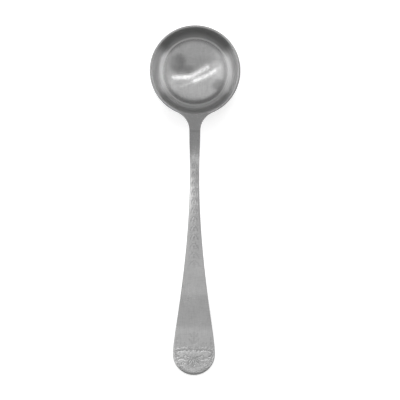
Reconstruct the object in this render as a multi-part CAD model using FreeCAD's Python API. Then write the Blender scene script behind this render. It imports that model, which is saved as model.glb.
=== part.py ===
import FreeCAD, Part
import math
import os

# Sauce ladle, drawn from one piece of stainless steel: round bowl, arched handle, rounded end.
# Millimetres. X across, Y along the handle with the bowl at +Y, Z up, standing on z = 0.
# A reach is a distance from the bowl's centre towards the handle's tip.

# Whole
overallLength = 190.0

# Bowl
bowlDiameter = 49.0
bowlHeight = 20.0
rimWidth = 1.2
wallLean = 4.0            # degrees that the straight upper part of the wall leans out
bandHeight = 2.0          # upright band round the outside, under the rim
straightShare = 0.125     # length of the straight wall over the knee, as a share of the bowl's height
kneeShare = 0.7           # radius inside the knee, the same way
footPad = 0.22            # ground off underneath, which leaves a flat spot 7 mm across

# Side view of the handle
riseAngle = 19.0
bendReach = 38.0          # the straight rise ends here
crestReach = 56.0         # highest point
levelLength = 13.5        # the last stretch lies level
fallSkew = 3.0            # more puts the steepest stretch nearer the tip
rootBlend = 8.0           # radius between the rim and the rise

# Section of the handle
neckThickness = 3.4
endThickness = 2.2
rootSwell = 1.2           # extra thickness on the centre line where it meets the bowl
rootEdge = 1.1            # thickness at the sides
neckEdge = 1.7
endEdge = 1.4
crownHeight = 0.3         # how much the middle of the top stands above its sides
rootCrown = 0.08          # the same where it meets the bowl
restPad = 0.12            # ground off under the end, so that it lies flat

# Plan of the handle: widths and where they are
flareRadius = 11.0
rootWidth = 5.9
neckWidth = 5.0
neckReach = 54.0          # narrowest place
endWidth = 23.0
neckPull = 0.5            # how long the side stays slim below the neck
endPull = 0.11            # how long it stays wide above the end, both as shares of the side
rootPull = 0.4

# Edges
topEdgeRadius = 0.5
innerRimRadius = 0.4
underEdgeRadius = 0.5

# Stamped ornament: shallow leaves, petals and dots in the top of the handle
stampDepth = 0.15
stampHeight = 1.0         # of the solid that presses a motif in
rosetteX = 1.8
rosetteFromTip = 14.2
petalCount = 5
petalLength = 1.0
petalBulge = 0.28
petalStart = 0.4          # from the middle of the rosette
finialFromTip = 22.9
finialRadius = 0.55
stemLength = 5.0
stemGap = 0.6
stemBulge = 0.25
fanFromTip = 10.8
fanStart = 1.4
fanLength = 4.6
fanBulge = 0.5
fanCount = 5
fanAngle = 32.0           # degrees between two leaves of the fan
bossX = 4.7
bossFromTip = 10.4
bossRadius = 0.5
borderInset = 1.5         # from the side of the handle to its border leaves
borderLeaf = 1.7
borderBulge = 0.35
borderPitch = 2.4
borderHeight = 21.0       # the border climbs this far up from the tip
chainStart = 50.0         # reach of the first husk of the chain
chainEnd = 106.0
huskPitch = 4.8
huskLength = 3.0
huskBulge = 0.5
huskHollow = 0.12
huskRoot = 0.35
huskSpread = 0.55         # how far a husk reaches out, as a share of the half width there
dropLength = 1.8
dropBulge = 0.3

# Leaves on one side of the end. Each has its two points, as (x, from the tip), and the bulge of
# its two arcs, all as shares of half the end's width.
sideLeaves = (
    ((0.06, 1.47), (0.27, 1.72), 0.07, -0.01),     # sprig at the stem
    ((0.10, 1.82), (0.20, 1.98), 0.03, 0.03),      # bud beside the finial
    ((0.36, 1.30), (0.46, 1.56), 0.04, 0.04),      # three leaves that stand on the arm
    ((0.50, 1.31), (0.63, 1.53), 0.04, 0.04),
    ((0.63, 1.26), (0.80, 1.40), 0.04, 0.04),
    ((0.32, 1.13), (0.84, 1.07), 0.13, -0.06),     # arm
    ((0.84, 1.00), (0.68, 0.88), 0.07, -0.02),     # curl at its end
    ((0.42, 0.72), (0.74, 0.74), 0.09, -0.03),     # lower scroll
    ((0.44, 0.60), (0.60, 0.50), 0.04, 0.04),
)

# Derived places
bowlRadius = bowlDiameter / 2
innerRadius = bowlRadius - rimWidth
wallSlope = math.radians(wallLean)
wall = rimWidth * math.cos(wallSlope) + bandHeight * math.sin(wallSlope)
bowlY = overallLength / 2 - bowlRadius
tipReach = overallLength - bowlRadius
endReach = tipReach - endWidth / 2
landingReach = tipReach - levelLength
riseSlope = math.tan(math.radians(riseAngle))
levelHeight = endThickness - restPad
slabSpread = 1.1          # the handle's slab is this many times as wide as the plan that trims it
slabInside = 1.0          # and starts this far inside the place where it comes up through the rim
flareSections = 5
handleSections = 16

# The flare is an arc that touches the bowl's circle outside and runs out along the handle's side
flareX = rootWidth / 2 + flareRadius
flareReach = math.sqrt((bowlRadius + flareRadius) ** 2 - flareX ** 2)
touchX = flareX * bowlRadius / (bowlRadius + flareRadius)
touchReach = flareReach * bowlRadius / (bowlRadius + flareRadius)

# The top comes up through the rim just inside the flares, so that it is clear of the rim all along them
riseInside = 0.3
riseReach = touchReach - rootCrown / riseSlope - riseInside
crestHeight = bowlHeight + riseSlope * ((bendReach - riseReach) + (crestReach - bendReach) / 2)
tall = 2 * crestHeight
tiny = 0.001
sideLimit = 0.3           # a face whose normal has less height than this counts as a side


def place(x, reach, z=0.0):
    return FreeCAD.Vector(x, bowlY - reach, z)


def ease(share):
    t = min(max(share, 0.0), 1.0)
    return t * t * (3 - 2 * t)


def topAt(reach):
    # Height of the top on the centre line: straight rise, bend, long fall, level end
    if reach <= bendReach:
        return bowlHeight + riseSlope * (reach - riseReach)
    if reach <= crestReach:
        left = (crestReach - reach) / (crestReach - bendReach)
        return crestHeight - riseSlope * (crestReach - bendReach) / 2 * left * left
    t = min((reach - crestReach) / (landingReach - crestReach), 1.0)
    return levelHeight + (crestHeight - levelHeight) * (1 - t) ** 2 * (1 + 2 * t + fallSkew * t * t)


def thicknessAt(reach):
    taper = ease((landingReach - reach) / (landingReach - bendReach))
    swell = ease((bendReach - reach) / (bendReach - bowlRadius))
    return endThickness + (neckThickness - endThickness) * taper + rootSwell * swell


def edgeAt(reach):
    taper = ease((landingReach - reach) / (landingReach - bendReach))
    thin = ease((bendReach - reach) / (bendReach - bowlRadius))
    return endEdge + (neckEdge - endEdge) * taper + (rootEdge - neckEdge) * thin


def crownAt(reach):
    full = ease((reach - bowlRadius) / (bendReach - bowlRadius))
    return rootCrown + (crownHeight - rootCrown) * full


def sidePoles(fromReach, fromWidth, fromPull, toReach, toWidth, toPull):
    # The side leaves and arrives along the handle
    length = toReach - fromReach
    return (
        (fromReach, fromWidth / 2),
        (fromReach + fromPull * length, fromWidth / 2),
        (toReach - toPull * length, toWidth / 2),
        (toReach, toWidth / 2),
    )


rootSide = sidePoles(flareReach, rootWidth, rootPull, neckReach, neckWidth, rootPull)
longSide = sidePoles(neckReach, neckWidth, neckPull, endReach, endWidth, endPull)


def bezier(poles, t):
    a, b, c, d = poles
    s = 1 - t
    return s * s * s * a + 3 * s * s * t * b + 3 * s * t * t * c + t * t * t * d


def halfWidthAt(reach):
    if reach <= touchReach:
        return math.sqrt(bowlRadius ** 2 - reach ** 2)
    if reach < flareReach:
        return flareX - math.sqrt(flareRadius ** 2 - (flareReach - reach) ** 2)
    if reach >= endReach:
        return endWidth / 2
    side = rootSide if reach < neckReach else longSide
    reaches = [pole[0] for pole in side]
    low = 0.0
    high = 1.0
    while high - low > tiny:
        middle = (low + high) / 2
        if bezier(reaches, middle) < reach:
            low = middle
        else:
            high = middle
    return bezier([pole[1] for pole in side], low)


def sideCurve(side, poles):
    curve = Part.BezierCurve()
    curve.setPoles([place(side * width, reach) for reach, width in poles])
    return curve.toShape()


def planOutline():
    # One smooth loop: round the bowl, down the right side, round the tip, up the left side
    def flare(side):
        start = place(side * touchX, touchReach)
        end = place(side * rootWidth / 2, flareReach)
        toStart = math.atan2(touchX - flareX, flareReach - touchReach)
        toEnd = -math.pi / 2
        half = (toStart + toEnd) / 2
        throughX = flareX + flareRadius * math.sin(half)
        through = place(side * throughX, flareReach - flareRadius * math.cos(half))
        return Part.Arc(start, through, end).toShape()

    bowlArc = Part.Arc(place(-touchX, touchReach), place(0, -bowlRadius), place(touchX, touchReach)).toShape()
    endArc = Part.Arc(place(endWidth / 2, endReach), place(0, tipReach), place(-endWidth / 2, endReach)).toShape()
    right = [flare(1), sideCurve(1, rootSide), sideCurve(1, longSide)]
    left = [sideCurve(-1, longSide), sideCurve(-1, rootSide), flare(-1)]
    edges = [bowlArc] + right + [endArc] + left
    return Part.Wire(Part.__sortEdges__(edges))


def bow(startX, endX, reach, sideZ, middleZ):
    # Shallow parabola across the handle, level at its middle
    curve = Part.BezierCurve()
    curve.setPoles([place(startX, reach, sideZ), place(0, reach, 2 * middleZ - sideZ), place(endX, reach, sideZ)])
    return curve.toShape()


def handleSection(reach):
    # Crowned top over a keeled underside
    top = topAt(reach)
    crown = crownAt(reach)
    bottom = top - thicknessAt(reach)
    keel = thicknessAt(reach) - edgeAt(reach) - crown
    wide = halfWidthAt(reach) * slabSpread
    sideTop = top - crown * slabSpread ** 2
    sideBottom = bottom + keel * slabSpread ** 2
    topEdge = bow(-wide, wide, reach, sideTop, top)
    bottomEdge = bow(wide, -wide, reach, sideBottom, bottom)
    rightEdge = Part.makeLine(place(wide, reach, sideTop), place(wide, reach, sideBottom))
    leftEdge = Part.makeLine(place(-wide, reach, sideBottom), place(-wide, reach, sideTop))
    return Part.Wire([topEdge, rightEdge, bottomEdge, leftEdge])


def handleSlab():
    # Sections close together over the flare, then evenly along the handle and past its tip
    start = riseReach - slabInside
    step = (flareReach - start) / flareSections
    reaches = [start + step * i for i in range(flareSections)]
    step = (tipReach - flareReach) / handleSections
    reaches += [flareReach + step * i for i in range(handleSections + 2)]
    return Part.makeLoft([handleSection(reach) for reach in reaches], True, False)


def bowlProfile(outward):
    # Straight wall, tight arc at the knee, wide arc across the bottom, all moved outward from the inside
    bottomZ = wall - footPad
    kneeRadius = kneeShare * bowlHeight
    rim = FreeCAD.Vector(innerRadius, 0, bowlHeight)
    up = FreeCAD.Vector(math.sin(wallSlope), 0, math.cos(wallSlope))
    inward = FreeCAD.Vector(-math.cos(wallSlope), 0, math.sin(wallSlope))
    kneeCentre = rim - up * straightShare * bowlHeight + inward * kneeRadius
    lift = kneeCentre.z - bottomZ
    bottomRadius = (kneeCentre.x ** 2 + lift ** 2 - kneeRadius ** 2) / (2 * (lift - kneeRadius))
    bottomCentre = FreeCAD.Vector(0, 0, bottomZ + bottomRadius)
    toKnee = (kneeCentre - bottomCentre).normalize()
    halfway = (toKnee - inward).normalize()
    rise = math.atan2(toKnee.x, -toKnee.z) / 2
    wallTop = rim - inward * outward
    return [
        bottomCentre + FreeCAD.Vector(0, 0, -1) * (bottomRadius + outward),
        bottomCentre + FreeCAD.Vector(math.sin(rise), 0, -math.cos(rise)) * (bottomRadius + outward),
        kneeCentre + toKnee * (kneeRadius + outward),
        kneeCentre + halfway * (kneeRadius + outward),
        kneeCentre - inward * (kneeRadius + outward),
        wallTop + up * (tall - wallTop.z),
    ]


def bowlSolid(outward, top):
    # Turns the profile once round, from the axis out to the wall and up past the given height
    start, bottomMiddle, kneeStart, kneeMiddle, kneeEnd, past = bowlProfile(outward)
    over = kneeEnd + (past - kneeEnd) * ((top - kneeEnd.z) / (past.z - kneeEnd.z))
    axisTop = FreeCAD.Vector(0, 0, top)
    edges = [
        Part.Arc(start, bottomMiddle, kneeStart).toShape(),
        Part.Arc(kneeStart, kneeMiddle, kneeEnd).toShape(),
        Part.makeLine(kneeEnd, over),
        Part.makeLine(over, axisTop),
        Part.makeLine(axisTop, start),
    ]
    solid = Part.Face(Part.Wire(edges)).revolve(FreeCAD.Vector(0, 0, 0), FreeCAD.Vector(0, 0, 1), 360)
    solid.translate(FreeCAD.Vector(0, bowlY, 0))
    return solid


def middleOf(edge):
    return edge.valueAt((edge.FirstParameter + edge.LastParameter) / 2)


def isCrease(edge):
    # Where the handle's top comes up through the rim's plane, inside the bowl's circle
    box = edge.BoundBox
    level = abs(box.ZMin - bowlHeight) < tiny and abs(box.ZMax - bowlHeight) < tiny
    middle = middleOf(edge)
    return level and math.hypot(middle.x, middle.y - bowlY) < bowlRadius - tiny


def blank():
    # Bowl and handle as one solid piece, trimmed to the plan, before the bowl is hollowed
    plan = Part.Face(planOutline()).extrude(FreeCAD.Vector(0, 0, tall))
    handle = handleSlab().common(plan)
    handle = handle.makeFillet(underEdgeRadius, loops(handle, isUnderEdge))
    bowl = bowlSolid(wall, bowlHeight).common(plan)
    solid = bowl.fuse(handle).removeSplitter().Solids[0]
    return solid.makeFillet(rootBlend, [edge for edge in solid.Edges if isCrease(edge)])


def loops(solid, wanted):
    # Edges whose two faces have normals that pass the test at the middle of the edge
    found = []
    for edge in solid.Edges:
        if edge.Length < tiny:
            continue
        middle = middleOf(edge)
        normals = []
        for face in solid.ancestorsOfType(edge, Part.Face):
            u, v = face.Surface.parameter(middle)
            normals.append(face.normalAt(u, v))
        if len(normals) == 2 and wanted(middle, sorted(normals, key=lambda normal: normal.z)):
            found.append(edge)
    return found


def upright(normal):
    return abs(normal.z) < sideLimit


def isTopEdge(middle, normals):
    return upright(normals[0]) and normals[1].z > sideLimit


def isUnderEdge(middle, normals):
    return middle.y < bowlY - touchReach and normals[0].z < -sideLimit and upright(normals[1])


def isInnerRim(middle, normals):
    reach = math.hypot(middle.x, middle.y - bowlY)
    return abs(reach - innerRadius) < rimWidth / 4 and upright(normals[0]) and normals[1].z > sideLimit


def fromTip(x, distance):
    return (x, tipReach - distance)


def ray(middle, degrees, distance):
    # A point seen from the middle, with zero degrees towards the tip
    angle = math.radians(degrees)
    return (middle[0] + distance * math.sin(angle), middle[1] + distance * math.cos(angle))


# A motif is a leaf: its two points, and how far the arc on either side bulges
def leaf(start, end, left, right, side=1):
    if side > 0:
        return (start, end, left, right)
    return ((-start[0], start[1]), (-end[0], end[1]), right, left)


def spoke(middle, degrees, start, length, bulge):
    return leaf(ray(middle, degrees, start), ray(middle, degrees, start + length), bulge, bulge)


def dot(middle, radius):
    return spoke(middle, 0, -radius, 2 * radius, radius)


def rosette(side):
    middle = fromTip(side * rosetteX, rosetteFromTip)
    turn = 360 / petalCount
    return [spoke(middle, side * turn * i, petalStart, petalLength, petalBulge) for i in range(petalCount)]


def scrolls(side):
    unit = endWidth / 2
    motifs = [dot(fromTip(side * bossX, bossFromTip), bossRadius)]
    for (startX, startFromTip), (endX, endFromTip), left, right in sideLeaves:
        start = fromTip(startX * unit, startFromTip * unit)
        end = fromTip(endX * unit, endFromTip * unit)
        motifs.append(leaf(start, end, left * unit, right * unit, side))
    return motifs


def border(side):
    # Leaves in a row up the side: round the end first, then along the handle
    motifs = []
    turnRadius = endWidth / 2 - borderInset
    quarter = turnRadius * math.pi / 2
    length = quarter + borderHeight - endWidth / 2
    for i in range(1, int(length / borderPitch) + 1):
        travel = borderPitch * i
        if travel < quarter:
            angle = travel / turnRadius
            middle = (turnRadius * math.sin(angle), endReach + turnRadius * math.cos(angle))
            heading = math.degrees(angle) + 90
        else:
            reach = endReach - (travel - quarter)
            middle = (halfWidthAt(reach) - borderInset, reach)
            heading = 180
        start = ray(middle, heading, -borderLeaf / 2)
        end = ray(middle, heading, borderLeaf / 2)
        motifs.append(leaf(start, end, borderBulge, borderBulge, side))
    return motifs


def endMotifs():
    motifs = [dot(fromTip(0, finialFromTip), finialRadius)]
    stemTop = finialFromTip - finialRadius - stemGap
    motifs.append(leaf(fromTip(0, stemTop), fromTip(0, stemTop - stemLength), stemBulge, stemBulge))
    for i in range(fanCount):
        degrees = fanAngle * (i - (fanCount - 1) / 2)
        motifs.append(spoke(fromTip(0, fanFromTip), degrees, fanStart, fanLength, fanBulge))
    for side in (1, -1):
        motifs += rosette(side) + scrolls(side) + border(side)
    return motifs


def chainMotifs():
    # Husks one below the other: a drop between two leaves that open towards the tip
    motifs = []
    for i in range(int((chainEnd - chainStart) / huskPitch) + 1):
        reach = chainStart + huskPitch * i
        out = halfWidthAt(reach) * huskSpread
        for side in (1, -1):
            motifs.append(leaf((huskRoot, reach), (out, reach + huskLength), huskBulge, -huskHollow, side))
        motifs.append(leaf((0, reach + huskLength - dropLength), (0, reach + huskLength), dropBulge, dropBulge))
    return motifs


def stamp(motif):
    # Solid that presses the motif in, square to the top of the handle at the motif's middle
    (startX, startReach), (endX, endReach), left, right = motif
    middleX = (startX + endX) / 2
    middleReach = (startReach + endReach) / 2
    slope = (topAt(middleReach + tiny) - topAt(middleReach - tiny)) / (2 * tiny)
    sag = crownAt(middleReach) / halfWidthAt(middleReach) ** 2
    tilt = -2 * sag * middleX
    floorZ = topAt(middleReach) - sag * middleX ** 2 - stampDepth

    def onFloor(x, reach):
        return place(x, reach, floorZ + tilt * (x - middleX) + slope * (reach - middleReach))

    normal = FreeCAD.Vector(-tilt, slope, 1).normalize()
    start = onFloor(startX, startReach)
    end = onFloor(endX, endReach)
    across = normal.cross((end - start).normalize())
    middle = (start + end) / 2
    edges = [
        Part.Arc(start, middle + across * left, end).toShape(),
        Part.Arc(end, middle - across * right, start).toShape(),
    ]
    return Part.Face(Part.Wire(edges)).extrude(normal * stampHeight)


def stamped(solid):
    return solid.cut([stamp(motif) for motif in endMotifs() + chainMotifs()]).Solids[0]


def ladle():
    solid = blank()
    solid = solid.makeFillet(topEdgeRadius, loops(solid, isTopEdge))
    solid = solid.cut(bowlSolid(0, tall)).Solids[0]
    solid = solid.makeFillet(innerRimRadius, loops(solid, isInnerRim))
    return stamped(solid)


os.makedirs("parts", exist_ok=True)
ladle().exportStep("parts/ladle.step")
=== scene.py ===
import math
import bmesh
import bpy
from mathutils import Matrix, Vector


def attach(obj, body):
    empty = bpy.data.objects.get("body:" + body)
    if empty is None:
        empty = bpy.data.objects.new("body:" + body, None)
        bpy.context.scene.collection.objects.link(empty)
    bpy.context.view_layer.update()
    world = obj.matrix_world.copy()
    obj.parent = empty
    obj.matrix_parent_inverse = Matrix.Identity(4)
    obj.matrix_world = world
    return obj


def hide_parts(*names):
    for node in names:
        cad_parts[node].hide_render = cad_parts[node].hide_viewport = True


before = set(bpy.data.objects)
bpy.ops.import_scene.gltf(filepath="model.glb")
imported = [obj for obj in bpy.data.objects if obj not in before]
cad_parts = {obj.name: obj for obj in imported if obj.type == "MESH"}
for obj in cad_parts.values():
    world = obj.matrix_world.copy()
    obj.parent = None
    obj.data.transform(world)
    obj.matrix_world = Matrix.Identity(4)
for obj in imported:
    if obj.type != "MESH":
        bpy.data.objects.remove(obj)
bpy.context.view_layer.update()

# The ladle is drawn in millimetres, with reach counted from the bowl's centre towards the tip
mm = 0.001

bowl = {
    "diameter": 49.0,
    "height": 20.0,
    "rimWidth": 1.2,
    "wallLean": math.radians(4.0),
    "bandHeight": 2.0,       # upright band outside, under the rim
    "straightShare": 0.125,  # length of the straight wall, as a share of the height
    "kneeShare": 0.7,        # radius inside the knee, the same way
    "footPad": 0.22,         # worn flat underneath
    "innerRound": 0.4,
    "outerRound": 0.5,
    "rootSteps": 20,         # faces round the bowl where the handle grows out of it
    "aroundSteps": 135,      # and round the rest of one half
    "arcSteps": 22,          # faces along the knee and along the bottom inside
    "footSteps": 14,         # and along the bottom outside
}

handle = {
    "length": 190.0,
    "riseAngle": math.radians(19.0),
    "bendReach": 38.0,
    "crestReach": 56.0,
    "levelLength": 13.5,
    "fallSkew": 3.0,
    "neckThickness": 3.4,
    "endThickness": 2.2,
    "rootSwell": 1.2,
    "rootEdge": 1.1,
    "neckEdge": 1.7,
    "endEdge": 1.4,
    "crownHeight": 0.3,
    "rootCrown": 0.08,
    "restPad": 0.12,
    "flareRadius": 11.0,
    "rootWidth": 5.9,
    "neckWidth": 5.0,
    "neckReach": 54.0,
    "endWidth": 23.0,
    "rootPull": 0.4,         # how straight the sides leave their ends, as shares of their length
    "neckPull": 0.5,
    "endPull": 0.11,
    "edgeRound": 0.5,
    "lowRoundShare": 0.85,   # most of what the upper rounding leaves of the side
    "riseInside": 0.3,
    "rootBlend": 0.46,       # how softly the handle's top leaves the rim
    "spineTravel": 7.0,      # the rows of the round end fan out over this length
}

radius = bowl["diameter"] / 2
innerRadius = radius - bowl["rimWidth"]
bowlY = handle["length"] / 2 - radius
tipReach = handle["length"] - radius
endRadius = handle["endWidth"] / 2
endReach = tipReach - endRadius
landingReach = tipReach - handle["levelLength"]
riseSlope = math.tan(handle["riseAngle"])

# The flare is an arc that touches the bowl's circle and runs out along the handle
flareX = handle["rootWidth"] / 2 + handle["flareRadius"]
flareReach = math.sqrt((radius + handle["flareRadius"]) ** 2 - flareX ** 2)
touchAngle = math.atan2(flareX, flareReach)
touchReach = radius * math.cos(touchAngle)
riseReach = touchReach - handle["rootCrown"] / riseSlope - handle["riseInside"]
levelHeight = handle["endThickness"] - handle["restPad"]
bendSpan = handle["crestReach"] - handle["bendReach"]
crestHeight = bowl["height"] + riseSlope * (handle["bendReach"] - riseReach + bendSpan / 2)


def ease(share):
    t = min(max(share, 0.0), 1.0)
    return t * t * (3 - 2 * t)


def step(value, start, full):
    # 0 up to start, 1 from full on, whichever of them is the greater
    return ease((value - start) / (full - start))


def mix(a, b, share):
    return a + (b - a) * share


# Side view and section of the handle

def topAt(reach):
    # Height on the centre line: straight rise, bend, long fall, level end
    if reach <= handle["bendReach"]:
        return bowl["height"] + riseSlope * (reach - riseReach)
    if reach <= handle["crestReach"]:
        left = (handle["crestReach"] - reach) / bendSpan
        return crestHeight - riseSlope * bendSpan / 2 * left * left
    t = min((reach - handle["crestReach"]) / (landingReach - handle["crestReach"]), 1.0)
    fall = (1 - t) ** 2 * (1 + 2 * t + handle["fallSkew"] * t * t)
    return levelHeight + (crestHeight - levelHeight) * fall


def taperAt(reach):
    return step(reach, landingReach, handle["bendReach"])


def rootAt(reach):
    return step(reach, handle["bendReach"], radius)


def thicknessAt(reach):
    plain = mix(handle["endThickness"], handle["neckThickness"], taperAt(reach))
    return plain + handle["rootSwell"] * rootAt(reach)


def edgeAt(reach):
    edge = mix(handle["endEdge"], handle["neckEdge"], taperAt(reach))
    return edge + (handle["rootEdge"] - handle["neckEdge"]) * rootAt(reach)


def crownAt(reach):
    return mix(handle["rootCrown"], handle["crownHeight"], step(reach, radius, handle["bendReach"]))


# Plan of the handle

def sidePoles(fromReach, fromWidth, fromPull, toReach, toWidth, toPull):
    length = toReach - fromReach
    return (
        (fromWidth / 2, fromReach),
        (fromWidth / 2, fromReach + fromPull * length),
        (toWidth / 2, toReach - toPull * length),
        (toWidth / 2, toReach),
    )


rootSide = sidePoles(
    flareReach, handle["rootWidth"], handle["rootPull"],
    handle["neckReach"], handle["neckWidth"], handle["rootPull"],
)
longSide = sidePoles(
    handle["neckReach"], handle["neckWidth"], handle["neckPull"],
    endReach, handle["endWidth"], handle["endPull"],
)


def onCurve(poles, t):
    a, b, c, d = [Vector(pole) for pole in poles]
    s = 1 - t
    point = a * s ** 3 + b * 3 * s * s * t + c * 3 * s * t * t + d * t ** 3
    along = (b - a) * s * s + (c - b) * 2 * s * t + (d - c) * t * t
    return point, along.normalized()


def sideAt(reach):
    # Point and direction of the side at a reach, found by halving
    poles = rootSide if reach < handle["neckReach"] else longSide
    low, high = 0.0, 1.0
    halvings = 24
    for _ in range(halvings):
        middle = (low + high) / 2
        if onCurve(poles, middle)[0].y < reach:
            low = middle
        else:
            high = middle
    return onCurve(poles, low)


def halfWidthAt(reach):
    if reach <= touchReach:
        return math.sqrt(radius ** 2 - reach ** 2)
    if reach < flareReach:
        return flareX - math.sqrt(handle["flareRadius"] ** 2 - (flareReach - reach) ** 2)
    if reach >= endReach:
        return endRadius
    return sideAt(reach)[0].x


# How many columns of faces each stretch of the side gets, and where the ornament has them finer on top
flareColumns = 26
fineFrom = flareColumns + 28
stretches = [
    (flareReach, handle["neckReach"], 36),
    (handle["neckReach"], 110.0, 112),
    (110.0, 136.0, 30),
    (136.0, endReach, 36),
]
endColumns = 36
columns = flareColumns + sum(count for _, _, count in stretches) + endColumns
sideTable = {}


def planAt(station):
    # Outline point, outward direction and the reach of the spine point that the row starts from
    if station in sideTable:
        return sideTable[station]
    left = station - flareColumns
    if left <= 0:
        angle = (math.pi / 2 - touchAngle) * (-left / flareColumns)
        outward = Vector((math.cos(angle), math.sin(angle)))
        point = Vector((flareX, flareReach)) - outward * handle["flareRadius"]
        spine = (point - outward * handle["edgeRound"]).y
        width = point.x
    else:
        for start, end, count in stretches:
            if left <= count:
                point, along = sideAt(start + (end - start) * left / count)
                outward = Vector((along.y, -along.x))
                spine = point.y
                width = point.x
                break
            left -= count
        else:
            share = left / endColumns
            angle = math.pi / 2 * (1 - share)
            outward = Vector((math.sin(angle), math.cos(angle)))
            point = Vector((0, endReach)) + outward * endRadius
            spine = endReach + handle["spineTravel"] * share
            width = endRadius
    sideTable[station] = (point, outward, spine, width)
    return sideTable[station]


# Stamped ornament: worn leaves that stand up out of a sunk outline

ornament = {
    "grooveDepth": 0.10,
    "grooveReach": 0.34,      # how far the sunk ground runs out round a leaf
    "leafRise": 0.36,         # from its edge to its full height
    "fromReach": 47.0,
    "rosetteX": 1.8,
    "rosetteFromTip": 14.2,
    "petals": 5,
    "petalStart": 0.35,
    "petalLength": 1.15,
    "petalBulge": 0.36,
    "finialFromTip": 22.9,
    "finialRadius": 0.6,
    "stemGap": 0.6,
    "stemLength": 5.0,
    "stemBulge": 0.28,
    "fanFromTip": 10.8,
    "fanStart": 1.4,
    "fanLength": 4.6,
    "fanBulge": 0.52,
    "fanCount": 5,
    "fanAngle": 32.0,
    "bossX": 4.5,
    "bossFromTip": 9.8,
    "bossRadius": 1.0,
    "borderInset": 1.5,
    "borderLeaf": 1.7,
    "borderBulge": 0.4,
    "borderPitch": 2.4,
    "borderHeight": 21.0,
    "chainStart": 50.0,
    "chainEnd": 106.0,
    "huskPitch": 4.8,
    "huskLength": 3.0,
    "huskBulge": 0.5,
    "huskHollow": 0.12,
    "huskRoot": 0.35,
    "huskSpread": 0.55,
    "dropLength": 1.8,
    "dropBulge": 0.34,
}

# Leaves on one side of the end: start, end, and the bulge of either arc, as shares of half its width
sideLeaves = (
    ((0.06, 1.47), (0.27, 1.72), 0.07, -0.01),     # sprig at the stem
    ((0.10, 1.82), (0.20, 1.98), 0.03, 0.03),      # bud beside the finial
    ((0.36, 1.30), (0.46, 1.56), 0.04, 0.04),      # three leaves that stand on the arm
    ((0.50, 1.31), (0.63, 1.53), 0.04, 0.04),
    ((0.63, 1.26), (0.80, 1.40), 0.04, 0.04),
    ((0.30, 1.12), (0.52, 1.19), 0.07, -0.01),     # arm of three leaves
    ((0.50, 1.14), (0.70, 1.16), 0.06, 0.01),
    ((0.67, 1.16), (0.86, 1.06), 0.07, -0.01),
    ((0.84, 1.00), (0.68, 0.88), 0.07, -0.02),     # curl at its end
    ((0.42, 0.72), (0.74, 0.74), 0.09, -0.03),     # lower scroll
    ((0.44, 0.60), (0.60, 0.50), 0.04, 0.04),
)


def fromTip(x, distance):
    return Vector((x, tipReach - distance))


def ray(middle, degrees, distance):
    angle = math.radians(degrees)
    return middle + Vector((math.sin(angle), math.cos(angle))) * distance


def spoke(middle, degrees, start, length, bulge):
    return (ray(middle, degrees, start), ray(middle, degrees, start + length), bulge, bulge)


def roundDot(middle, size):
    return spoke(middle, 0, -size, 2 * size, size)


def endLeaves():
    # Finial, stem, fan, rosette, boss and scrolled leaves
    o = ornament
    found = [roundDot(fromTip(0, o["finialFromTip"]), o["finialRadius"])]
    stemTop = o["finialFromTip"] - o["finialRadius"] - o["stemGap"]
    stem = (fromTip(0, stemTop), fromTip(0, stemTop - o["stemLength"]))
    found.append((*stem, o["stemBulge"], o["stemBulge"]))
    fan = fromTip(0, o["fanFromTip"])
    for i in range(o["fanCount"]):
        degrees = o["fanAngle"] * (i - (o["fanCount"] - 1) / 2)
        found.append(spoke(fan, degrees, o["fanStart"], o["fanLength"], o["fanBulge"]))
    rosette = fromTip(o["rosetteX"], o["rosetteFromTip"])
    for i in range(o["petals"]):
        degrees = 360 / o["petals"] * i
        found.append(spoke(rosette, degrees, o["petalStart"], o["petalLength"], o["petalBulge"]))
    found.append(roundDot(fromTip(o["bossX"], o["bossFromTip"]), o["bossRadius"]))
    for start, end, left, right in sideLeaves:
        ends = [fromTip(x * endRadius, distance * endRadius) for x, distance in (start, end)]
        found.append((*ends, left * endRadius, right * endRadius))
    return found


def borderLeaves():
    # One after another from the tip round the end and up its side
    o = ornament
    found = []
    turnRadius = endRadius - o["borderInset"]
    quarter = turnRadius * math.pi / 2
    length = quarter + o["borderHeight"] - endRadius
    for i in range(1, int(length / o["borderPitch"]) + 1):
        travel = o["borderPitch"] * i
        if travel < quarter:
            angle = travel / turnRadius
            middle = Vector((turnRadius * math.sin(angle), endReach + turnRadius * math.cos(angle)))
            heading = math.degrees(angle) + 90
        else:
            reach = endReach - (travel - quarter)
            middle = Vector((halfWidthAt(reach) - o["borderInset"], reach))
            heading = 180
        found.append(spoke(middle, heading, -o["borderLeaf"] / 2, o["borderLeaf"], o["borderBulge"]))
    return found


def chainLeaves():
    # Husks up the handle, each with a drop in its middle
    o = ornament
    found = []
    for i in range(int((o["chainEnd"] - o["chainStart"]) / o["huskPitch"]) + 1):
        reach = o["chainStart"] + o["huskPitch"] * i
        out = halfWidthAt(reach) * o["huskSpread"]
        tip = reach + o["huskLength"]
        root = Vector((o["huskRoot"], reach))
        found.append((root, Vector((out, tip)), o["huskBulge"], -o["huskHollow"]))
        root = Vector((0, tip - o["dropLength"]))
        found.append((root, Vector((0, tip)), o["dropBulge"], o["dropBulge"]))
    return found


def arcOf(start, end, bulge):
    # Centre and radius of the arc that bulges to the left of start to end
    chord = end - start
    left = Vector((chord.y, -chord.x)).normalized()
    size = (chord.length_squared / 4 + bulge * bulge) / (2 * abs(bulge))
    way = 1 if bulge > 0 else -1
    return (start + end) / 2 + left * (bulge - way * size), size, way


def prepared():
    # Arcs of each leaf that touches the right half, with a circle round it that saves time
    made = []
    for start, end, left, right in endLeaves() + borderLeaves() + chainLeaves():
        circle = (end - start).length / 2 + max(abs(left), abs(right)) + ornament["grooveReach"]
        arcs = (arcOf(start, end, left), arcOf(end, start, right))
        made.append(((start + end) / 2, circle, *arcs, start, end))
    return made


motifs = prepared()


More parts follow.
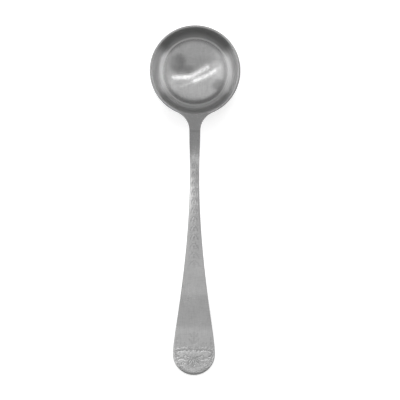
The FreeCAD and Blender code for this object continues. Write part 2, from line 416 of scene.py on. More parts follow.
def insideOf(point, arc):
    centre, size, way = arc
    return way * (size - (point - centre).length)


def reliefAt(x, reach):
    # Height of the ornament over the plain surface, never above it
    if reach < ornament["fromReach"]:
        return 0.0
    point = Vector((x, reach))
    best = -math.inf
    for middle, circle, first, second, start, end in motifs:
        offset = point - middle
        if abs(offset.x) > circle or abs(offset.y) > circle:
            continue
        inside = min(insideOf(point, first), insideOf(point, second))
        if inside < 0:
            # past a point of the leaf the arcs run on, so the nearer end decides
            along = (end - start).normalized()
            past = max((start - point).dot(along), (point - end).dot(along), 0.0)
            inside = min(inside, -past)
        best = max(best, inside)
    if best <= -ornament["grooveReach"]:
        return 0.0
    if best < 0:
        return -ornament["grooveDepth"] * ease(1 + best / ornament["grooveReach"])
    return -ornament["grooveDepth"] * (1 - ease(best / ornament["leafRise"]))


# Height of the whole top: the rim's plane, left softly where the handle rises out of it

def surfaceAt(x, reach, width=None):
    half = width or halfWidthAt(reach)
    rise = topAt(reach) - crownAt(reach) * (x / half) ** 2 - bowl["height"]
    blend = handle["rootBlend"]
    if reach < flareReach:
        if rise <= -blend:
            rise = 0.0
        elif rise < blend:
            rise = (rise + blend) ** 2 / (4 * blend)
    return bowl["height"] + rise


def undersideAt(x, reach, width):
    keel = thicknessAt(reach) - edgeAt(reach) - crownAt(reach)
    return max(topAt(reach) - thicknessAt(reach) + keel * (x / width) ** 2, 0.0)


# Bowl

def bowlArcs():
    # Knee and bottom arcs of the inside, and the wall between inside and outside
    lean = bowl["wallLean"]
    wall = bowl["rimWidth"] * math.cos(lean) + bowl["bandHeight"] * math.sin(lean)
    kneeSize = bowl["kneeShare"] * bowl["height"]
    bottomZ = wall - bowl["footPad"]
    straight = bowl["straightShare"] * bowl["height"]
    kneeR = innerRadius - straight * math.sin(lean) - kneeSize * math.cos(lean)
    kneeZ = bowl["height"] - straight * math.cos(lean) + kneeSize * math.sin(lean)
    lift = kneeZ - bottomZ
    bottomSize = (kneeR ** 2 + lift ** 2 - kneeSize ** 2) / (2 * (lift - kneeSize))
    return wall, (kneeR, kneeZ, kneeSize), (0.0, bottomZ + bottomSize, bottomSize)


wall, knee, bottom = bowlArcs()
kneeAngle = math.atan2(knee[0], bottom[1] - knee[1])
contactZ = bowl["height"] - 1.0      # where the handle's thin side ends on the band
compressZ = 12.0                     # the outside below this keeps its shape under the handle
liftInside = (15.0, 19.0)            # between these heights the wall takes up the rise at the root
liftOutside = (18.0, 19.0)
roundRows = 4                        # rows of faces over a rounded edge
tiny = 0.001


def onArc(arc, angle, outward=0.0):
    r, z, size = arc
    return Vector((r + (size + outward) * math.sin(angle), 0, z - (size + outward) * math.cos(angle)))


def arcPoints(arc, fromAngle, toAngle, steps, outward=0.0):
    return [onArc(arc, mix(fromAngle, toAngle, i / steps), outward) for i in range(steps + 1)]


bandZ = bowl["height"] - bowl["bandHeight"]
kneeEnd = math.pi / 2 - bowl["wallLean"]


def outerRadiusAt(z):
    if z >= bandZ:
        return radius
    if z >= onArc(knee, kneeEnd, wall).z:
        return radius - (bandZ - z) * math.tan(bowl["wallLean"])
    return knee[0] + math.sqrt((knee[2] + wall) ** 2 - (knee[1] - z) ** 2)


def insideProfile():
    # From the middle of the bottom up the wall, over the rounded inner rim to the rim's flat
    lean = bowl["wallLean"]
    rounding = bowl["innerRound"]
    points = arcPoints(bottom, 0, kneeAngle, bowl["arcSteps"])
    points += arcPoints(knee, kneeAngle, kneeEnd, bowl["arcSteps"])[1:]
    rimR = innerRadius - rounding * math.tan(lean)
    wallStart = points[-1]
    wallEnd = Vector((rimR, 0, bowl["height"] - rounding))
    points += [wallStart.lerp(wallEnd, share) for share in (0.25, 0.5, 0.75)]
    for i in range(roundRows + 1):
        angle = math.pi / 2 * i / roundRows
        r = mix(rimR, innerRadius + rounding, 1 - math.cos(angle))
        points.append(Vector((r, 0, bowl["height"] - rounding * (1 - math.sin(angle)))))
    points.append(Vector((radius - bowl["outerRound"], 0, bowl["height"])))
    return points


def bandProfile():
    # Rounded outer rim and the top of the upright band, which meet the side of the handle
    rounding = bowl["outerRound"]
    points = []
    for i in range(roundRows + 1):
        angle = math.pi / 2 * i / roundRows
        r = radius - rounding * (1 - math.sin(angle))
        points.append(Vector((r, 0, bowl["height"] - rounding * (1 - math.cos(angle)))))
    firstDrop = 0.1
    start = bowl["height"] - rounding - firstDrop
    points += [Vector((radius, 0, mix(start, contactZ, i / roundRows))) for i in range(roundRows + 1)]
    return points


def outsideProfile():
    # Down the outside from under the band to the flat foot
    footAngle = math.acos(bottom[1] / (bottom[2] + wall))
    points = [Vector((radius, 0, mix(contactZ, bandZ, i / 3))) for i in range(4)]
    points += arcPoints(knee, kneeEnd, kneeAngle, bowl["arcSteps"], wall)
    points += arcPoints(bottom, kneeAngle, footAngle, bowl["footSteps"], wall)[1:]
    footR = points[-1].x
    points += [Vector((footR * share, 0, 0)) for share in (0.75, 0.5, 0.25, 0)]
    return points


def settled(r, z, angle, outside):
    # A point of the bowl: lifted with the rim at the handle's root, and under the handle squeezed down
    lift = 0.0
    edge = radius - bowl["outerRound"]
    atR = edge if outside else min(max(r, innerRadius), edge)
    x = atR * math.sin(angle)
    reach = atR * math.cos(angle)
    if reach > 0:
        lift = surfaceAt(x, reach) - bowl["height"]
    share = step(z, *(liftOutside if outside else liftInside))
    if outside and angle < touchAngle and compressZ < z <= contactZ + tiny:
        low = contactZ - rootDepth * (1 - (angle / touchAngle) ** 2)
        z = mix(compressZ, low, (z - compressZ) / (contactZ - compressZ))
        r = outerRadiusAt(z)
        share *= (angle / touchAngle) ** 4
    return Vector((r * math.sin(angle), bowlY - r * math.cos(angle), z + lift * share))


rootDepth = contactZ - undersideAt(0, radius, radius)


def spinStrip(bm, profile, fromAngle, toAngle, steps, outside):
    # Turns a profile round the bowl's upright axis, then settles its points
    old = len(bm.verts)
    turn = Matrix.Rotation(fromAngle - math.pi / 2, 4, "Z")
    verts = [bm.verts.new(turn @ point) for point in profile]
    edges = [bm.edges.new(pair) for pair in zip(verts, verts[1:])]
    bmesh.ops.spin(bm, geom=verts + edges, cent=(0, 0, 0), axis=(0, 0, 1), dvec=(0, 0, 0),
                   angle=toAngle - fromAngle, steps=steps, use_merge=False, use_duplicate=False)
    for vert in list(bm.verts)[old:]:
        r = math.hypot(vert.co.x, vert.co.y)
        angle = math.atan2(max(vert.co.x, 0.0), -vert.co.y) if r > tiny else 0.0
        vert.co = settled(r, vert.co.z, angle, outside)


def bowlHalf(bm):
    root = bowl["rootSteps"]
    around = bowl["aroundSteps"]
    for profile, outside in ((insideProfile(), False), (outsideProfile(), True)):
        spinStrip(bm, profile, 0, touchAngle, root, outside)
        spinStrip(bm, profile, touchAngle, math.pi, around, outside)
    spinStrip(bm, bandProfile(), touchAngle, math.pi, around, True)
    # spin makes its faces in another order each run, so they are put in the order of their points
    bm.verts.index_update()
    total = len(bm.verts)

    def rank(face):
        places = [vert.index for vert in face.verts]
        return min(places) * total + max(places)

    bm.faces.sort(key=rank)


# Handle: a flat grid of stations along the side and rows round the section, wrapped into place

topRows = 20
sideRow = topRows + roundRows + 1
lowRow = sideRow + roundRows
rows = lowRow + topRows
fadeColumns = 32.0


def rootPoint(row):
    # Where a row starts on the bowl
    if row <= topRows:
        angle = touchAngle * row / topRows
        r = radius - bowl["outerRound"]
        return settled(r, bowl["height"], angle, False)
    if row <= lowRow:
        point = bandProfile()[int(row) - topRows]
        return settled(point.x, point.z, touchAngle, True)
    angle = touchAngle * (rows - row) / topRows
    return settled(radius, contactZ, angle, True)


def sectionPoint(station, row):
    # Point of the handle: x, reach, height
    point, outward, spine, width = planAt(station)
    rounding = handle["edgeRound"]
    rim = point - outward * rounding
    topZ = surfaceAt(rim.x, rim.y, width)
    lowZ = undersideAt(rim.x, rim.y, width)
    if row <= topRows:
        share = row / topRows
        return Vector((rim.x * share, mix(spine, rim.y, share))), None
    lowRounding = min(rounding, (topZ - lowZ - rounding) * handle["lowRoundShare"])
    if row <= topRows + roundRows:
        angle = math.pi / 2 * (row - topRows) / roundRows
        return rim + outward * rounding * math.sin(angle), topZ - rounding * (1 - math.cos(angle))
    if row <= lowRow:
        angle = math.pi / 2 * (row - sideRow) / roundRows
        return rim + outward * rounding * math.cos(angle), lowZ + lowRounding * (1 - math.sin(angle))
    share = (rows - row) / topRows
    return Vector((rim.x * share, mix(spine, rim.y, share))), None


def wrapped(station, row):
    fade = 1 - ease(station / fadeColumns)
    plan, height = sectionPoint(station, row)
    width = planAt(station)[3]
    if fade > 0:
        anchor = rootPoint(row)
        startPlan, startHeight = sectionPoint(0, row)
        plan = plan + (Vector((anchor.x, bowlY - anchor.y)) - startPlan) * fade
    if row <= topRows:
        inset = max(plan.x, 0.0)
        half = halfWidthAt(plan.y) if station < flareColumns + 2 else width
        height = surfaceAt(inset, plan.y, half) + reliefAt(inset, plan.y)
    elif height is None:
        height = undersideAt(plan.x, plan.y, width)
        if fade > 0:
            startHeight = undersideAt(anchor.x, bowlY - anchor.y, planAt(0)[3])
            height += (anchor.z - startHeight) * fade
    elif fade > 0:
        height += (anchor.z - startHeight) * fade
    return Vector((plan.x, bowlY - plan.y, height))


def handleHalf():
    bm = bmesh.new()
    bmesh.ops.create_grid(bm, x_segments=columns, y_segments=rows, size=1.0)
    for vert in bm.verts:
        vert.co = ((vert.co.x + 1) / 2 * columns, (vert.co.y + 1) / 2 * rows, 0)
    fine = [edge for edge in bm.edges if all(
        vert.co.y < topRows + 0.5 and vert.co.x > fineFrom - 0.5 for vert in edge.verts)]
    bmesh.ops.subdivide_edges(bm, edges=fine, cuts=1, use_grid_fill=True)
    for vert in bm.verts:
        vert.co = wrapped(round(vert.co.x * 2) / 2, round(vert.co.y * 2) / 2)
    mesh = bpy.data.meshes.new("handle half")
    bm.to_mesh(mesh)
    bm.free()
    return mesh


def finishedMesh(bm, name):
    # Joins the half's strips, mirrors them, and turns millimetres into metres
    weld = 0.004
    sliver = 0.0005
    bmesh.ops.remove_doubles(bm, verts=bm.verts, dist=weld)
    for vert in bm.verts:
        if abs(vert.co.x) < weld:
            vert.co.x = 0
    everything = bm.verts[:] + bm.edges[:] + bm.faces[:]
    bmesh.ops.mirror(bm, geom=everything, matrix=Matrix.Identity(4), merge_dist=weld, axis="X")
    bmesh.ops.dissolve_degenerate(bm, dist=sliver, edges=bm.edges)
    bmesh.ops.recalc_face_normals(bm, faces=bm.faces)
    openEdges = sum(1 for edge in bm.edges if not edge.is_manifold)
    volume = round(bm.calc_volume() / 1000, 3)
    print("ladle: faces", len(bm.faces), "open edges", openEdges, "volume", volume, "cm3")
    bmesh.ops.scale(bm, vec=(mm, mm, mm), verts=bm.verts)
    for face in bm.faces:
        face.smooth = True
    mesh = bpy.data.meshes.new(name)
    bm.to_mesh(mesh)
    bm.free()
    return mesh


# Materials

def srgb(code):
    # A hex colour as the linear values that a socket takes
    values = [int(code[i:i + 2], 16) / 255 for i in (1, 3, 5)]
    return tuple(v / 12.92 if v <= 0.04045 else ((v + 0.055) / 1.055) ** 2.4 for v in values) + (1.0,)


def addNode(tree, kind, settings=None, inputs=None):
    # One node, with its own settings and with values or other nodes' sockets as its inputs
    made = tree.nodes.new(kind)
    for name, value in (settings or {}).items():
        setattr(made, name, value)
    for name, value in (inputs or {}).items():
        if isinstance(value, bpy.types.NodeSocket):
            tree.links.new(value, made.inputs[name])
        else:
            made.inputs[name].default_value = value
    return made


def mathNode(tree, operation, *values):
    made = addNode(tree, "ShaderNodeMath", {"operation": operation}, dict(enumerate(values)))
    return made.outputs["Value"]


def vectorNode(tree, output, operation, *values):
    made = addNode(tree, "ShaderNodeVectorMath", {"operation": operation}, dict(enumerate(values)))
    return made.outputs[output]


def floatMix(tree, factor, a, b):
    inputs = {"Factor": factor, "A": a, "B": b}
    return addNode(tree, "ShaderNodeMix", {"data_type": "FLOAT"}, inputs).outputs[0]


def stepNode(tree, value, start, full, low=0.0, high=1.0):
    # low up to start, high from full on
    made = addNode(tree, "ShaderNodeMapRange", {"interpolation_type": "SMOOTHSTEP"}, {
        "Value": value, "From Min": start, "From Max": full, "To Min": low, "To Max": high})
    return made.outputs["Result"]


# Distances from the bowl's axis are in metres here
steel = {
    "bowl": "#b5b5b5",
    "handle": "#d0d0d0",
    # painted shade in the grooves, and the colour of the dark mark across the root
    "recess": "#525252",
    # tarnish, and the colour of the painted shade
    "tarnishAndShade": "#7e7e7e",
    "handleRoughness": 0.30,
    "bowlRoughness": 0.19,
    "wallRoughness": 0.34,      # the wall is rougher, and more so from here up to the rim
    "rimRoughness": 0.60,
    "rimFrom": 0.0200,
    "steep": (0.0160, 0.0190),  # where the bottom passes into the wall
    # painted light and shade on the bowl's wall: dark on the far side from the handle
    "wall": "#a0a0a0",
    "rootWall": "#c8c8c8",      # its side towards the handle, painted lighter, by the direction from the axis
    "rootSide": (0.2, -0.5),
    "litSides": "#fafafa",         # and its left and right, painted bright as if lit from the sides
    "litSideSpan": (0.75, 0.94),
    "line": "#f6f6f6",          # painted highlight, a bright ring where the wall begins
    "lineAt": 0.0182,
    "lineWidth": 0.0007,
    "lineShare": 0.6,
    "recessShare": 0.55,
    "groundShare": 0.22,
}

# Noise scales are in turns per metre
texture = {
    "cloud": (110.0, 4.0),                       # cloudy wear about 9 mm across: scale, detail
    "mottle": (1100.0, 3.0),                     # mottling of 0.9 mm
    "grain": (3800.0, 2.0),                      # buffing grain of 0.25 mm
    "scratches": (8, (2600.0, 160.0, 400.0)),    # scratches 0.4 mm apart: degrees, scale
    "crossing": (-27, (300.0, 2400.0, 400.0)),
    "scratchDetail": 3.0,
    "wheel": 3200.0,                             # rings of the polishing wheel, 0.3 mm apart
    "wheelDetail": 2.0,
    # what they add to the roughness
    "roughBase": -0.13,
    "scratchRough": 0.14,
    "cloudRough": 0.12,
    "groundRough": 0.06,
    "recessRough": 0.12,
    # how far they turn the colour to tarnish and painted shade: a share, or gain and base
    "cloudStain": 0.25,
    "scratchStain": (1.2, -0.54),
    "shadeMottle": (0.8, 0.64),
    "groundStain": (5.0, -2.0),
    # bumps: strength, and height in metres
    "scratchBump": (0.22, 0.00005),
    "grainBump": (0.14, 0.00003),
    "groundBump": (0.5, 0.00010),
}

# Painted shade on the handle and the bowl, and the marks and stippled ground of the handle. A pair says
# where it starts and where it is full: a reach, unless said otherwise
shadeAndMarks = {
    # painted shade on the top of the rim and on the bowl's outside
    "rimShade": 0.8,
    "outsideShade": 0.6,
    # painted shade at the root of the handle
    "rootShade": 1.0,
    "root": (72.0, 39.0),
    "markDark": 0.6,              # a thin dark mark across the root
    "markReach": 32.8,
    "markWidth": 0.8,
    # painted shade on the rounded edges and the underside
    "edgeShade": 0.7,
    "edge": (0.97, 0.67),         # by how far the surface faces up
    "slopeShade": 0.28,             # painted shade on the falling part of the handle, short of the ornament
    "slopeShadeTop": (118.0, 124.0),
    "slopeShadeLow": (141.5, 137.5),
    # painted shade along the outer edge of the round end
    "tipDark": 0.85,
    "tipEdge": (1.7, 1.0),        # by the distance from the edge
    "tipFacing": (0.35, 0.85),    # and by the way along the round end
    "fanShade": 0.24,              # painted shade on the ground of the fan of leaves, an oval
    "fanReach": 158.4,
    "fanSize": (5.0, 3.4),
    "fanEdge": (1.15, 0.75),      # by the share of its size
    "chainTop": (44.0, 55.0),     # stippled ground in a column up the handle
    "chainLow": (110.0, 92.0),
    "chainAcross": (0.85, 0.45),  # by the share of the half width
    "endGround": (23.5, 18.5),    # stippled ground round the end, by the distance from the tip
    "topGround": 0.08,            # fainter above the fan
    "fanTop": (148.0, 152.0),
    # painted shade in the grooves: how dark they are along the handle, darkest along the scrolled arms
    "grooveShade": (
        (40.0, 0.4), (90.0, 0.4), (102.0, 0.15), (140.0, 0.35),
        (150.0, 0.4), (152.0, 1.0), (155.0, 1.0), (157.0, 0.6),
    ),
}


def stainlessSteel():
    # 18/8 stainless steel, stamped and buffed: bright inside the bowl, satin and worn elsewhere, with
    # painted light and shade in its colour
    material = bpy.data.materials.new("stainless steel, buffed")
    material.use_nodes = True
    tree = material.node_tree
    shader = tree.nodes["Principled BSDF"]

    def attribute(name):
        return addNode(tree, "ShaderNodeAttribute", {"attribute_name": name}).outputs["Fac"]

    def noise(place, scale, detail):
        inputs = {"Vector": place, "Scale": scale, "Detail": detail}
        return addNode(tree, "ShaderNodeTexNoise", None, inputs).outputs["Fac"]

    def streaks(place, degrees, scale):
        # Noise drawn out in one direction
        inputs = {"Vector": place, "Rotation": (0, 0, math.radians(degrees)), "Scale": scale}
        turned = addNode(tree, "ShaderNodeMapping", None, inputs).outputs["Vector"]
        return noise(turned, 1.0, texture["scratchDetail"])

    def scaled(value, gain, base):
        return mathNode(tree, "MULTIPLY_ADD", value, gain, base)

    def product(a, b):
        return mathNode(tree, "MULTIPLY", a, b)

    def colourMix(factor, a, b):
        # Sockets 6, 7 and 2 are the ones for colours
        first, second = [srgb(colour) if isinstance(colour, str) else colour for colour in (a, b)]
        inputs = {"Factor": factor, 6: first, 7: second}
        return addNode(tree, "ShaderNodeMix", {"data_type": "RGBA"}, inputs).outputs[2]

    place = addNode(tree, "ShaderNodeTexCoord").outputs["Object"]
    fromAxis = vectorNode(tree, "Vector", "MULTIPLY_ADD", place, (1, 1, 0), (0, -bowlY * mm, 0))
    distance = vectorNode(tree, "Value", "LENGTH", fromAxis)
    around = vectorNode(tree, "Vector", "NORMALIZE", fromAxis)
    hollow, recess, ground, paintedShade = [attribute(name) for name in layerNames]

    cloud = noise(place, *texture["cloud"])
    mottle = noise(place, *texture["mottle"])
    grain = noise(place, *texture["grain"])
    oneWay, otherWay = [streaks(place, *texture[name]) for name in ("scratches", "crossing")]
    scratches = floatMix(tree, 0.5, oneWay, otherWay)

    # inside the bowl: rings of the polishing wheel on the wall, and a painted highlight, a bright ring
    # where it begins
    rings = vectorNode(tree, "Vector", "MULTIPLY_ADD", distance, (0, 0, texture["wheel"]), around)
    wheel = noise(rings, 1.0, texture["wheelDetail"])
    steep = product(hollow, stepNode(tree, distance, *steel["steep"]))
    scratches = floatMix(tree, steep, scratches, wheel)
    offLine = mathNode(tree, "ABSOLUTE", mathNode(tree, "SUBTRACT", distance, steel["lineAt"]))
    line = product(hollow, stepNode(tree, offLine, steel["lineWidth"], 0.0))

    rough = floatMix(tree, hollow, steel["handleRoughness"], steel["bowlRoughness"])
    nearRim = stepNode(tree, distance, steel["rimFrom"], innerRadius * mm)
    wallRough = floatMix(tree, nearRim, steel["wallRoughness"], steel["rimRoughness"])
    rough = mathNode(tree, "ADD", floatMix(tree, steep, rough, wallRough), texture["roughBase"])
    rougher = ((scratches, "scratch"), (cloud, "cloud"), (ground, "ground"), (recess, "recess"))
    for layer, name in rougher:
        rough = scaled(layer, texture[name + "Rough"], rough)

    # painted light and shade on the wall: lighter towards the handle, bright on the left and right
    aim = addNode(tree, "ShaderNodeSeparateXYZ", None, {"Vector": around}).outputs
    toRoot = stepNode(tree, aim["Y"], *steel["rootSide"])
    sideways = stepNode(tree, mathNode(tree, "ABSOLUTE", aim["X"]), *steel["litSideSpan"])
    wallColour = colourMix(toRoot, steel["wall"], steel["rootWall"])
    wallColour = colourMix(sideways, wallColour, steel["litSides"])
    colour = colourMix(steep, colourMix(hollow, steel["handle"], steel["bowl"]), wallColour)
    colour = colourMix(product(line, steel["lineShare"]), colour, steel["line"])
    stippled = product(scaled(mottle, *texture["groundStain"]), steel["groundShare"])
    # cloudy wear, scratches, mottled painted shade and stippled ground, each turning the colour towards
    # tarnish
    for stain in (
        product(cloud, texture["cloudStain"]),
        scaled(scratches, *texture["scratchStain"]),
        product(paintedShade, scaled(mottle, *texture["shadeMottle"])),
        product(ground, stippled),
    ):
        colour = colourMix(stain, colour, steel["tarnishAndShade"])
    # painted shade in the grooves of the ornament
    colour = colourMix(product(recess, steel["recessShare"]), colour, steel["recess"])

    normal = {}
    for height, name in ((scratches, "scratch"), (grain, "grain"), (product(mottle, ground), "ground")):
        strength, deep = texture[name + "Bump"]
        inputs = {"Height": height, "Strength": strength, "Distance": deep}
        normal["Normal"] = addNode(tree, "ShaderNodeBump", None, inputs | normal).outputs["Normal"]

    shader.inputs["Metallic"].default_value = 1.0
    tree.links.new(colour, shader.inputs["Base Color"])
    tree.links.new(rough, shader.inputs["Roughness"])
    tree.links.new(normal["Normal"], shader.inputs["Normal"])
    return material


# What the steel's attributes hold: polished inside of the bowl, grooves with painted shade, stippled
# ground, painted shade
layerNames = ("hollow", "recess", "ground", "paintedShade")


def groundAt(x, reach):
    chain = step(reach, *shadeAndMarks["chainTop"]) * step(reach, *shadeAndMarks["chainLow"])
    chain *= step(x / halfWidthAt(reach), *shadeAndMarks["chainAcross"])
    end = step(tipReach - reach, *shadeAndMarks["endGround"])
    end *= mix(shadeAndMarks["topGround"], 1, step(reach, *shadeAndMarks["fanTop"]))
    return max(chain, end)


def grooveShadeAt(reach):
    places = shadeAndMarks["grooveShade"]
    for (start, before), (finish, after) in zip(places, places[1:]):
        if reach < finish:
            return mix(before, after, step(reach, start, finish))
    return places[-1][1]


def recessAt(x, reach):
    # Painted shade in the grooves, and the dark mark across the root
    depth = min(-reliefAt(x, reach) / ornament["grooveDepth"], 1.0)
    mark = 1 - ease(abs(reach - shadeAndMarks["markReach"]) / shadeAndMarks["markWidth"])
    return max(depth * grooveShadeAt(reach), shadeAndMarks["markDark"] * mark)


def tipAt(x, reach):
    # 1 along the outermost edge of the round end, where shade is painted
    if reach <= endReach:
        return 0.0
    inside = endRadius - math.hypot(x, reach - endReach)
    return step((reach - endReach) / endRadius, *shadeAndMarks["tipFacing"]) * step(inside, *shadeAndMarks["tipEdge"])


def paintedShadeAt(x, reach, up):
    # How much painted shade the handle gets, where up says how far its surface faces up
    fanWidth, fanLength = shadeAndMarks["fanSize"]
    fan = math.hypot(x / fanWidth, (reach - shadeAndMarks["fanReach"]) / fanLength)
    return max(
        shadeAndMarks["rootShade"] * step(reach, *shadeAndMarks["root"]),
        shadeAndMarks["edgeShade"] * step(up, *shadeAndMarks["edge"]),
        shadeAndMarks["tipDark"] * tipAt(x, reach),
        shadeAndMarks["slopeShade"] * step(reach, *shadeAndMarks["slopeShadeTop"]) * step(reach, *shadeAndMarks["slopeShadeLow"]),
        shadeAndMarks["fanShade"] * step(fan, *shadeAndMarks["fanEdge"]),
    )


def layersAt(x, reach, z, up):
    # The values of the four attributes at a point of the surface
    slack = 0.1
    floorZ, rimSide = 0.9, 0.6
    hollowUp, sideUp, rimUp, topUp = -0.2, 0.2, 0.3, 0.5
    r = math.hypot(x, reach)
    hollow = recess = ground = paintedShade = 0.0
    if r < innerRadius + slack and z > floorZ and up > hollowUp:
        hollow = 1.0
    elif r < radius + slack:
        # painted shade on the rim's top, and on the bowl's outside
        paintedShade = shadeAndMarks["rimShade"] if up > rimUp else shadeAndMarks["outsideShade"]
    if r > radius - rimSide and reach > touchReach and (up > sideUp or r > radius + slack):
        paintedShade = paintedShadeAt(x, reach, up)
        if up > topUp:
            recess = recessAt(x, reach)
            ground = groundAt(x, reach)
    return hollow, recess, ground, paintedShade


def paintAttributes(mesh):
    layers = [mesh.attributes.new(name, "FLOAT", "POINT").data for name in layerNames]
    for vert in mesh.vertices:
        x, y, z = vert.co / mm
        for layer, value in zip(layers, layersAt(abs(x), bowlY - y, z, vert.normal.z)):
            layer[vert.index].value = value


def buildLadle():
    bm = bmesh.new()
    bowlHalf(bm)
    print("bowl: half turned,", len(bm.faces), "faces")
    half = handleHalf()
    bm.from_mesh(half)
    bpy.data.meshes.remove(half)
    print("handle: half wrapped,", len(bm.faces), "faces in all")
    mesh = finishedMesh(bm, "ladle_steel")
    mesh.materials.append(stainlessSteel())
    paintAttributes(mesh)
    piece = bpy.data.objects.new("ladle_steel", mesh)
    bpy.context.scene.collection.objects.link(piece)
    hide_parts("ladle")
    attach(piece, "root")


buildLadle()

# Floor, light and camera

studio = {
    "floorSize": 6.0,
    "floorColour": "#ececec",
    "floorLift": 0.385,      # glow of the floor for the camera, white outside the shadows
    # strength of the world by direction, from the tip's side (0) to the bowl's side (1)
    "worldStops": (
        (0.0, 0.60), (0.04, 0.84), (0.085, 0.79), (0.13, 0.76), (0.20, 0.79),
        (0.31, 0.66), (0.38, 0.73), (0.45, 0.56), (0.51, 0.53), (0.64, 0.68),
        (0.76, 1.0), (0.87, 1.0), (0.92, 1.0), (0.96, 0.90), (1.0, 0.60),
    ),
    # near the horizon it is darker, down to this share
    "low": (0.25, 0.45),
    "lowShare": 0.2,
    # but bright on the left and the right: from, full and how much is added
    "sides": ((0.5, 0.85, 0.42), (0.92, 1.0, 1.7)),
    # and white all round at the horizon
    "horizon": (0.16, 0.09),
    # a dark stand, the camera, a pale wall and a cupboard: direction, half-angle, share of the light
    "patches": (
        ((0.65, -0.29, 0.70), math.radians(19), 0.58),
        ((0.24, -0.05, 0.97), math.radians(10), 0.76),
        ((-0.68, 0.08, 0.73), math.radians(22), 1.38),
        ((-0.75, 0.45, 0.50), math.radians(11), 0.50),
    ),
    "patchSoft": 0.3,        # how far a patch fades to either side of its edge
    "keyEnds": ((-0.5, 1.3, 0.75), (0.5, 1.3, 0.75)),
    "keyWidth": 0.5,
    "keyPower": 9.0,
    "lampAim": 0.01,         # height of the point in the bowl that the lamps face
    "tubeHeight": 1.4,
    # ceiling tubes: their ends as shares of the height, width, and strength
    "tubes": (
        ((1.32, 0.40), (0.18, 0.23), 0.20, 2.4),
        ((0.18, 0.23), (-0.58, -0.20), 0.16, 2.4),
        ((0.80, 0.83), (0.07, 0.41), 0.08, 1.1),
        ((0.07, 0.41), (-1.10, -0.05), 0.17, 2.3),
        ((-1.10, -0.05), (-2.10, -0.36), 0.08, 1.1),
    ),
}


def makeFloor():
    bm = bmesh.new()
    bmesh.ops.create_grid(bm, x_segments=1, y_segments=1, size=studio["floorSize"] / 2)
    mesh = bpy.data.meshes.new("floor")
    bm.to_mesh(mesh)
    bm.free()
    floor = bpy.data.objects.new("floor", mesh)
    bpy.context.scene.collection.objects.link(floor)
    material = bpy.data.materials.new("paper sweep")
    material.use_nodes = True
    tree = material.node_tree
    tree.nodes.clear()
    paths = addNode(tree, "ShaderNodeLightPath").outputs
    seen = mathNode(tree, "ADD", paths["Is Camera Ray"], paths["Is Glossy Ray"])
    seen = addNode(tree, "ShaderNodeMath", {"operation": "ADD", "use_clamp": True}, {
        0: seen, 1: paths["Is Transmission Ray"]}).outputs["Value"]
    lift = mathNode(tree, "MULTIPLY", seen, studio["floorLift"])
    glow = addNode(tree, "ShaderNodeEmission", None, {"Strength": lift}).outputs[0]
    colour = srgb(studio["floorColour"])
    paper = addNode(tree, "ShaderNodeBsdfDiffuse", None, {"Color": colour}).outputs[0]
    both = addNode(tree, "ShaderNodeAddShader", None, {0: paper, 1: glow}).outputs[0]
    addNode(tree, "ShaderNodeOutputMaterial", None, {"Surface": both})
    mesh.materials.append(material)


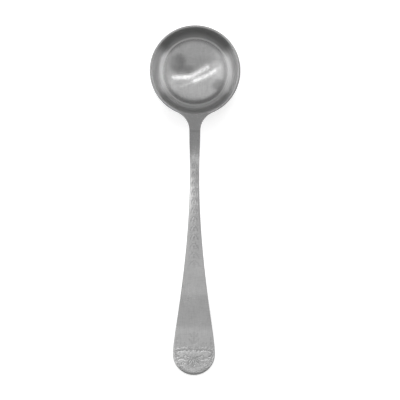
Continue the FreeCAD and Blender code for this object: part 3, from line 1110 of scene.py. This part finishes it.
def makeWorld():
    # Soft light from all round, uneven as in a room, which the steel mirrors
    world = bpy.data.worlds.new("studio")
    bpy.context.scene.world = world
    world.use_nodes = True
    tree = world.node_tree
    background = tree.nodes["Background"]
    way = addNode(tree, "ShaderNodeTexCoord").outputs["Generated"]
    parts = addNode(tree, "ShaderNodeSeparateXYZ", None, {"Vector": way}).outputs
    along = mathNode(tree, "MULTIPLY_ADD", parts["Y"], 0.5, 0.5)
    ramp = addNode(tree, "ShaderNodeValToRGB", None, {"Fac": along})
    stops = studio["worldStops"]
    elements = ramp.color_ramp.elements
    while len(elements) < len(stops):
        elements.new(0.5)
    for element, (position, level) in zip(elements, stops):
        element.position = position
        element.color = (level, level, level, 1)
    low = stepNode(tree, parts["Z"], *studio["low"], studio["lowShare"], 1.0)
    total = mathNode(tree, "MULTIPLY", ramp.outputs["Color"], low)
    sideways = mathNode(tree, "ABSOLUTE", parts["X"])
    for start, full, gain in studio["sides"]:
        total = mathNode(tree, "ADD", total, stepNode(tree, sideways, start, full, 0.0, gain))
    soft = studio["patchSoft"]
    for towards, width, share in studio["patches"]:
        angle = vectorNode(tree, "Value", "DOT_PRODUCT", way, Vector(towards).normalized())
        outer, inner = math.cos(width * (1 + soft)), math.cos(width * (1 - soft))
        total = mathNode(tree, "MULTIPLY", total, stepNode(tree, angle, outer, inner, 1.0, share))
    horizon = stepNode(tree, parts["Z"], *studio["horizon"])
    tree.links.new(floatMix(tree, horizon, total, 1.0), background.inputs["Color"])
    background.inputs["Strength"].default_value = 1.0


def addStrip(name, start, end, width):
    # A long lamp between two points that faces the bowl
    start, end = Vector(start), Vector(end)
    data = bpy.data.lights.new(name, "AREA")
    data.shape = "RECTANGLE"
    data.size = (end - start).length
    data.size_y = width
    lamp = bpy.data.objects.new(name, data)
    middle = (start + end) / 2
    facing = (middle - Vector((0, bowlY * mm, studio["lampAim"]))).normalized()
    along = (end - start).normalized()
    side = facing.cross(along).normalized()
    lamp.matrix_world = Matrix((along, side, along.cross(side))).transposed().to_4x4()
    lamp.matrix_world.translation = middle
    bpy.context.scene.collection.objects.link(lamp)
    return lamp


def makeLamps():
    # Key beyond the top of the picture, low enough for soft shadows, and not mirrored by the ladle
    key = addStrip("key", *studio["keyEnds"], studio["keyWidth"])
    key.data.energy = studio["keyPower"]
    key.visible_glossy = False
    # Ceiling tubes draw the bright streaks in the bowl
    height = studio["tubeHeight"]
    for i, (near, far, width, strength) in enumerate(studio["tubes"]):
        ends = [(x * height, bowlY * mm + y * height, height) for x, y in (near, far)]
        tube = addStrip(f"tube {i + 1}", *ends, width)
        tube.data.energy = strength * math.pi * tube.data.size * width


# Straight above the ladle, a little off its middle and turned as in the photo
camera = {
    "distance": 1.6,
    "lens": 263.3,
    "sensor": 36.0,
    "x": 2.95,
    "y": 0.62,
    "roll": math.radians(0.25),
}


def makeCamera():
    data = bpy.data.cameras.new("camera")
    data.lens = camera["lens"]
    data.sensor_width = camera["sensor"]
    made = bpy.data.objects.new("camera", data)
    made.location = (camera["x"] * mm, camera["y"] * mm, camera["distance"])
    made.rotation_euler = (0, 0, camera["roll"])
    bpy.context.scene.collection.objects.link(made)
    bpy.context.scene.camera = made


makeFloor()
makeWorld()
makeLamps()
makeCamera()
print("studio: floor, world, lamps and camera")

bpy.context.scene.view_settings.view_transform = "Standard"
